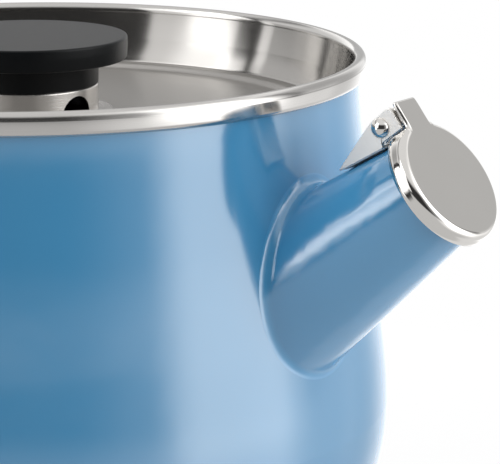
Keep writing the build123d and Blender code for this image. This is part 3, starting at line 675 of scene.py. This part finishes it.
def turned_blank(name, outline, spokes=288):
    """An outline that starts and ends on the axis, swept round it, with a pole at each end."""
    inner = outline[1:-1]
    t = np.arange(spokes) * 2 * np.pi / spokes
    r = inner[:, 0:1] * MM
    ring = np.stack([r * np.cos(t), r * np.sin(t), np.repeat(inner[:, 1:2] * MM, spokes, 1)], -1)
    poles = np.array([[0, 0, outline[0, 1] * MM], [0, 0, outline[-1, 1] * MM]])
    points = np.concatenate([ring.reshape(-1, 3), poles])
    return make_piece(name, points, grid_faces(len(inner), spokes, False), end_fans(len(inner), spokes))


# %% [markdown]
# ### Rim
#
# The rim is one strip of steel: a bead rolled outwards, a wall that narrows downwards, a soft curve and the
# narrow seat that the lid rests on. The bead is tightest on top and tucks under to the enamel. A bevel on a
# coarse ring would give one even rounding; the real bead is flatter outside than on top, so its crown is
# half an ellipse and the rest an outline of its own.

# %% Rolled rim
BEAD_INSIDE = 74.45
BEAD_OUTSIDE = 77.45
BEAD_TOP = 127.6
BEAD_WIDEST = 125.6        # height where the crown's curve ends and the plain side begins
CROWN_END = 172            # degrees round the crown, where it runs into the side
WALL_STEPS = 11
GUARD_POINTS = 2           # rounded() adds one before and one after each corner's curve


def bead_crown(steps=41):
    """The crown as part of an ellipse: r = middle - half cos t, z = widest + rise sin t."""
    t = np.radians(np.linspace(0, CROWN_END, steps))
    middle = (BEAD_INSIDE + BEAD_OUTSIDE) / 2
    half = (BEAD_OUTSIDE - BEAD_INSIDE) / 2
    return np.stack([middle - half * np.cos(t), BEAD_WIDEST + (BEAD_TOP - BEAD_WIDEST) * np.sin(t)], -1)


RIM_WALL = rounded((
    (BEAD_INSIDE, BEAD_TOP, 0.5),      # these two corners stand in for the crown
    (BEAD_OUTSIDE, BEAD_TOP, 0.5),
    (77.52, 124.9, 0.8),
    (77.34, 123.05, 0.65),
    (76.4, 122.25, 0.35),      # lower edge of the bead
    (74.6, 122.25, 0.1),
    (73.1, 117.2, 1.5),        # hidden side of the wall
    (71.2, 111.95, 0.6),
    (66.8, 111.95, 0.25),      # edge of the seat
    (66.8, 112.8, 0.25),
    (70.6, 112.8, 1.5),        # curve between the seat and the wall
    (72.2, 117.2, 2.2),
), steps=WALL_STEPS)
without_crown = RIM_WALL[2 * (WALL_STEPS + GUARD_POINTS):]
rim = turned_piece("rolled_rim", np.concatenate([bead_crown(), without_crown]), 384)
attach(rim, "pot")
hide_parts("rim_collar")
dress(rim, "collar_steel")

# %% [markdown]
# ### Lid
#
# The lid is a pressed dish of thin sheet: the flat, a shallow groove that stiffens it, and a raised edge that
# lies on the seat. Its upper side and its under side are given as two outlines, because a press draws the
# sheet thinner in the groove, which Solidify over a single surface wouldn't do.

# %% Pressed lid
LID_TOP = (
    (2.75, 113.3, 0.0),
    (60.2, 113.3, 2.0),        # end of the flat
    (62.0, 113.0, 0.9),
    (65.2, 113.0, 0.8),        # groove
    (66.3, 114.1, 0.7),
    (69.9, 114.1, 0.45),       # raised edge
)
LID_UNDER = (
    (69.9, 113.2, 0.4),
    (67.0, 113.2, 0.5),
    (66.2, 112.15, 0.5),
    (61.9, 112.15, 0.9),
    (60.1, 112.4, 2.0),
    (2.75, 112.4, 0.0),
)
lid = turned_piece("pressed_lid", rounded(LID_TOP + LID_UNDER), 384)
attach(lid, "lid")
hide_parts("lid_plate")
dress(lid, "lid_steel")

# %% [markdown]
# ### Knob
#
# The knob is a moulded disc on a neck. The disc has a small rounding above and below and a slight draft on
# its side, so that it left the mould, and the bore underneath takes the threaded insert. Its outline begins
# and ends on the axis, so the two points there become poles and the flat top closes without a hole.

# %% Moulded knob
KNOB_TOP = 131.3
BORE_END = 127.95
knob_corners = (
    (0.0, BORE_END, 0.0),
    (0.0, KNOB_TOP, 0.0),
    (22.98, KNOB_TOP, 0.62),
    (23.05, 129.0, 0.5),
    (22.86, 126.15, 0.55),
    (16.4, 126.15, 0.35),
    (16.28, 120.45, 0.3),
    (4.26, 120.45, 0.2),
    (4.26, BORE_END, 0.2),
)
knob_outline = rounded(knob_corners, steps=9)
off_axis = knob_outline[:, 0] > 0.01
knob_outline = np.concatenate([[[0, KNOB_TOP]], knob_outline[off_axis], [[0, BORE_END]]])
knob = turned_blank("moulded_knob", knob_outline, 256)
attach(knob, "lid")
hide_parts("knob")
dress(knob, "black_moulding")


# %% [markdown]
# ### The spout's own directions
#
# The cap, its ears and the bracket all lie square to the spout, which rises at a slant. They are drawn in the
# spout's own three directions, from the middle of its mouth, and one function carries them into place. The
# meshes then hold their true places and the objects stay at the origin, unturned.

# %% Cap frame
SPOUT_RISE = math.radians(37.1)
MOUTH = np.array([112.8, 0.0, 111.5])
ALONG = np.array([math.cos(SPOUT_RISE), 0, math.sin(SPOUT_RISE)])
UPWARD = np.array([-math.sin(SPOUT_RISE), 0, math.cos(SPOUT_RISE)])
ACROSS = np.array([0.0, 1.0, 0.0])


def at_spout(across, upward, along):
    """Points in metres from distances across the cap, towards its tab and along the spout."""
    spread = [np.asarray(v)[..., None] for v in np.broadcast_arrays(across, upward, along)]
    return (MOUTH + spread[0] * ACROSS + spread[1] * UPWARD + spread[2] * ALONG) * MM


# %% [markdown]
# ### Spout cap
#
# The cap is pressed from one sheet: a disc with a square tab, turned down all round. Blocks joined by a
# Boolean would give its shape but leave hard or uneven edges where disc and tab meet. Here its outline is a
# radius for every bearing round the disc's centre, with a soft corner between the two forms. From it run the
# face, the rolled edge, the skirt and the inside, loop after loop. The skirt is left out beside the hinge,
# and it opens a little towards its end, as a pressed edge springs back.

# %% Cap outline
def soft_least(a, b, width):
    """The lesser of two lengths with the corner between them rounded over a width."""
    share = np.clip(0.5 + 0.5 * (b - a) / width, 0, 1)
    return b + (a - b) * share - width * share * (1 - share)


def soft_most(a, b, width):
    """The greater of two lengths with the corner between them rounded over a width."""
    return -soft_least(-a, -b, width)


CAP_RADIUS = 14.1
TAB_HALF_WIDTH = 3.9
TAB_TOP = 19.4
TAB_CORNER = 1.6           # rounding of the tab's two outer corners
NECK_CORNER = 1.7          # rounding where tab and disc meet


def cap_outline(bearing, disc_inset, tab_inset):
    """Distance from the centre to the cap's edge, moved in by one amount on the disc and one on the tab.

    Bearing 0 points to the middle of the tab. The tab is the lesser of its end and its side, and the cap
    the greater of tab and disc, each with a soft corner.
    """
    side = np.maximum(np.abs(np.sin(bearing)), 1e-3)
    forward = np.maximum(np.cos(bearing), 1e-3)
    tab = soft_least((TAB_TOP - tab_inset) / forward, (TAB_HALF_WIDTH - tab_inset) / side,
                     TAB_CORNER)
    tab = np.where(np.cos(bearing) > 0.2, tab, 0)
    return soft_most(tab, np.full_like(tab, CAP_RADIUS - disc_inset), NECK_CORNER)


# %% Cap pressing
CAP_SHEET = 0.75
DISC_ROLL = 1.75           # rounding of the face's edge on the disc
TAB_ROLL = 0.5             # and on the tab
SKIRT_DEPTH = 3.75
SKIRT_GAIN = 0.45          # deeper by this much at the tab, shallower at the far side
BACK_DEPTH = 0.95          # what is left of the skirt beside the hinge
FLARE = 0.35
COLUMNS = 1440


def cap_loops(bearing):
    """The cap's loops from the middle of the face to the middle of the inside, and the first inner one.

    Each loop is (distance from the centre, height above the face) for every bearing. The rolled edge is a
    quarter turn: distance = end of face + reach sin t, height = -roll (1 - cos t). The inner rounding is
    the same turn run backwards, and the flat parts are the outline drawn smaller.
    """
    ahead = np.cos(bearing) > 0
    across = np.abs(np.sin(bearing) * cap_outline(bearing, 0, 0))
    open_back = np.clip((5.9 - across) / 1.0, 0, 1) * ahead
    on_tab = np.clip((6.0 - across) / 2.4, 0, 1) * ahead
    roll = DISC_ROLL + (TAB_ROLL - DISC_ROLL) * on_tab
    skirt = SKIRT_DEPTH + SKIRT_GAIN * np.cos(bearing)
    skirt = skirt + (BACK_DEPTH - skirt) * open_back
    flare = FLARE * (1 - open_back)
    outside = cap_outline(bearing, 0, 0)
    face_end = cap_outline(bearing, DISC_ROLL, TAB_ROLL)
    inside = cap_outline(bearing, CAP_SHEET, CAP_SHEET)
    inside_end = cap_outline(bearing, DISC_ROLL + 0.1, CAP_SHEET + 0.2)
    wall_top = np.minimum(roll, skirt - 0.15)
    inner_drop = CAP_SHEET + 0.85 * (1 - on_tab) + 0.1     # where the inner rounding ends
    inner_top = np.minimum(inner_drop, skirt - 0.14)
    quarter = np.linspace(0, np.pi / 2, 15)
    loops = [(face_end * share, 0 * roll) for share in np.linspace(0.02, 0.98, 14)]
    loops += [(face_end + (outside - face_end) * np.sin(t), -wall_top * (1 - np.cos(t))) for t in quarter]
    loops += [(outside + flare * share, -(wall_top + (skirt - 0.1 - wall_top) * share))
              for share in (0.05, 0.5, 1.0)]
    loops += [(outside * 0.994 + flare, -skirt), (inside * 1.006 + flare, -skirt),
              (inside + flare, 0.12 - skirt)]
    first_inner = len(loops)
    loops += [(inside, -np.minimum(inner_drop, skirt - 0.13))]
    loops += [(inside + (inside_end - inside) * (1 - np.cos(t)),
               -inner_top + (inner_top - CAP_SHEET) * np.sin(t)) for t in quarter[1:]]
    loops += [(inside_end * share, -CAP_SHEET + 0 * roll) for share in np.linspace(0.97, 0.02, 12)]
    return loops, first_inner


bearings = np.linspace(-np.pi, np.pi, COLUMNS + 1)[:-1]
bearings = bearings - 0.55 * np.sin(bearings)              # more columns near the tab
loops, first_inner = cap_loops(bearings)
cap_grid = np.stack([at_spout(np.sin(bearings) * length, np.cos(bearings) * length, drop)
                     for length, drop in loops])
centres = np.stack([at_spout(0, 0, 0), at_spout(0, 0, -CAP_SHEET)])
cap = make_piece("cap_pressing", np.concatenate([cap_grid.reshape(-1, 3), centres]),
                 grid_faces(len(loops), COLUMNS, False), end_fans(len(loops), COLUMNS))
inner_side = np.repeat(np.arange(len(loops)) >= first_inner, COLUMNS).astype(float)
inner_side = np.concatenate([inner_side, [0, 1]])          # the middle of the face and of the inside
cap.data.attributes.new("inner_side", "FLOAT", "POINT").data.foreach_set("value", inner_side)
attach(cap, "cap")
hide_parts("spout_cap")
dress(cap, "cap_steel")


# %% [markdown]
# ### Ears of the cap
#
# Two small ears bent down from the tab carry the cap on its pin. Each is a plate with a round hole. Cutting
# the hole with a Boolean would leave long thin faces, so the plate is a ring of quads: every bearing from the
# pin has one point on the hole and one on the plate's outline.

# %% Cap ears
PIN_HOLE = 1.56
EAR_ROUND = 2.1            # radius of the ear's round end, and half its width
EAR_REACH = 5.5            # from the pin to the tab
EAR_OFFSET = 2.9           # from the middle of the cap to the middle of an ear
PIN_UPWARD, PIN_ALONG = 16.6, -6.1


def ear(side):
    """One ear of the cap: a plate with a hole for the pin, as a ring of quads round the hole.

    The plate's edge lies at min(reach / cos t, half width / |sin t|) towards the tab and at the round
    end's radius on the other side.
    """
    turn = np.arange(96) * 2 * np.pi / 96
    towards = np.maximum(np.cos(turn), 1e-3)
    height = np.maximum(np.abs(np.sin(turn)), 1e-3)
    plate = np.where(np.cos(turn) > 0, np.minimum(EAR_REACH / towards, EAR_ROUND / height), EAR_ROUND)
    plate = np.maximum(plate, EAR_ROUND)
    hole = np.full_like(plate, PIN_HOLE)
    loops = [(hole, -0.4), (plate - 0.1, -0.4), (plate, -0.3), (plate, 0.3), (plate - 0.1, 0.4), (hole, 0.4)]
    points = np.stack([at_spout(side * EAR_OFFSET + offset, PIN_UPWARD + radius * np.sin(turn),
                                PIN_ALONG + radius * np.cos(turn))
                       for radius, offset in loops])
    return points.reshape(-1, 3), grid_faces(len(loops), len(turn), True)


for side, name in ((-1, "cap_ear_left"), (1, "cap_ear_right")):
    piece = make_piece(name, *ear(side))
    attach(piece, "cap")
    dress(piece, "polished_steel")


# %% [markdown]
# ### Hinge bracket
#
# The bracket has two cheeks that run out to a point on the spout's back, joined by a narrow seat between
# them. An extruded curve with a bevel could make such plates, but its bevel folds over at the sharp point.
# Here a pressed plate is one outline with its edge rounded: the same loop is moved in and down in a few
# small steps, always towards the plate's middle, and a fan closes each side.

# %% A pressed plate
def pressed_plate(outline, centre, half_thickness, edge=0.12):
    """Loops of a flat plate with softened edges, as (place in the plane, height) pairs round a centre.

    A loop is the outline drawn smaller towards the centre, p' = c + (p - c)(1 - d / h). Here d is the inset
    and h the distance from the centre to the side's own line, so a straight side moves in evenly.
    """
    chord = np.roll(outline, -1, axis=0) - np.roll(outline, 1, axis=0)
    normal = np.stack([chord[:, 1], -chord[:, 0]], -1) / np.linalg.norm(chord, axis=1)[:, None]
    arm = outline - np.array(centre)
    to_side = np.clip(np.abs((arm * normal).sum(axis=1)), 1.2, 3.5)[:, None]
    top = [(2.0 * edge, 0.0), (edge, 0.0), (0.3 * edge, 0.3 * edge), (0.0, edge)]
    steps = [(inset, half_thickness - drop) for inset, drop in top]
    steps += [(inset, drop - half_thickness) for inset, drop in top[::-1]]
    flat = np.concatenate([outline - arm * inset / to_side for inset, _ in steps] + [[centre, centre]])
    rise = np.concatenate([np.full(len(outline), up) for _, up in steps] + [[half_thickness, -half_thickness]])
    columns = len(outline)
    return flat, rise, grid_faces(len(steps), columns, False), end_fans(len(steps), columns)


# %% Bracket cheeks and seat
CHEEK_MIDDLE = 4.05
CHEEK_HALF = 0.45
cheek_outline = rounded((
    (-1.6, 13.85, 0.25),
    (-1.6, 19.15, 0.9),
    (-7.2, 18.95, 2.2),        # shoulder over the rivet
    (-20.3, 14.75, 0.12),      # the point on the spout
    (-20.0, 14.35, 0.12),
    (-8.2, 12.85, 0.3),
    (-7.9, 13.85, 0.3),
), steps=9)
for side, name in ((-1, "bracket_cheek_left"), (1, "bracket_cheek_right")):
    flat, rise, quads, fans = pressed_plate(cheek_outline, (-6.0, 16.0), CHEEK_HALF)
    cheek = make_piece(name, at_spout(side * CHEEK_MIDDLE + rise, flat[:, 1], flat[:, 0]), quads, fans)
    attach(cheek, "pot")
    dress(cheek, "bracket_steel")

TUBE_RADIUS_AT_MOUTH = 11.56
TUBE_TAPER = 0.128         # the tube's radius grows by this much for each step away from the mouth
SEAT_GAP = 0.02
SEAT_MIDDLE = 0.46         # from the seat's under side to its middle
seat_outline = rounded(((-8.2, -3.7, 0.3), (-8.2, 3.7, 0.3), (-19.6, 3.7, 0.3), (-19.6, -3.7, 0.3)), steps=5)
flat, rise, quads, fans = pressed_plate(seat_outline, (-14.0, 0.0), 0.42)
seat_height = TUBE_RADIUS_AT_MOUTH + TUBE_TAPER * -flat[:, 0] + SEAT_GAP + SEAT_MIDDLE
seat = make_piece("bracket_seat", at_spout(flat[:, 1], seat_height + rise, flat[:, 0]), quads, fans)
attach(seat, "pot")
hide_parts("hinge_bracket")
dress(seat, "bracket_steel")
